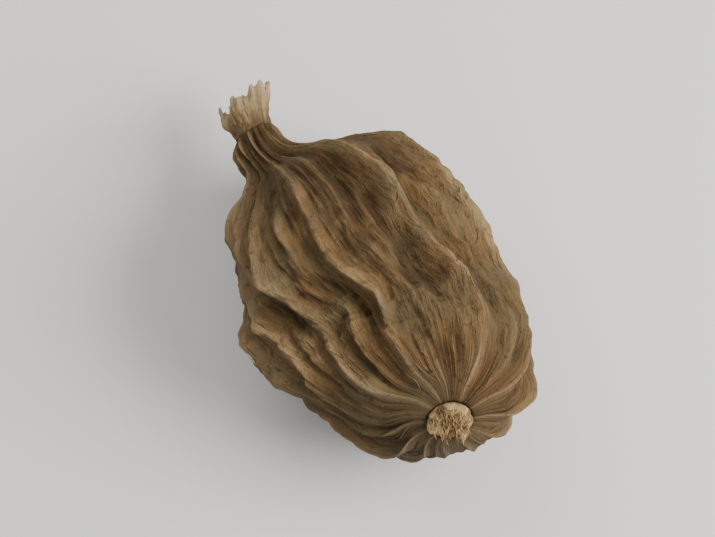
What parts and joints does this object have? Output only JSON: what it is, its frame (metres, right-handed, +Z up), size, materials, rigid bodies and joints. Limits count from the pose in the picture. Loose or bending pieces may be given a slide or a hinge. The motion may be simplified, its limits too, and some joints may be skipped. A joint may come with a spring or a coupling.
{
  "type": "black cardamom pod",
  "caption": "Dried ribbed seed pod lying on its side, with a withered calyx knob at its narrow neck and a torn stalk stub at its blunt end.",
  "frame": {"origin": "middle of the small flat spot on the underside that the pod rests on", "axes": "+X along the pod from the stalk to the calyx, +Z up from the surface that the pod lies on"},
  "size_m": [0.0256, 0.0159, 0.0127],
  "materials": {
    "husk": "dry fibrous husk, matt, greyish tan on the ribs and dark warm brown between them",
    "calyx": "pale dry papery flower remains, matt",
    "stalk_stub": "pale torn stalk fibres, matt"
  },
  "bodies": {
    "root": {"husk": "husk", "calyx": "calyx", "stalk_stub": "stalk_stub"}
  },
  "joints": []
}
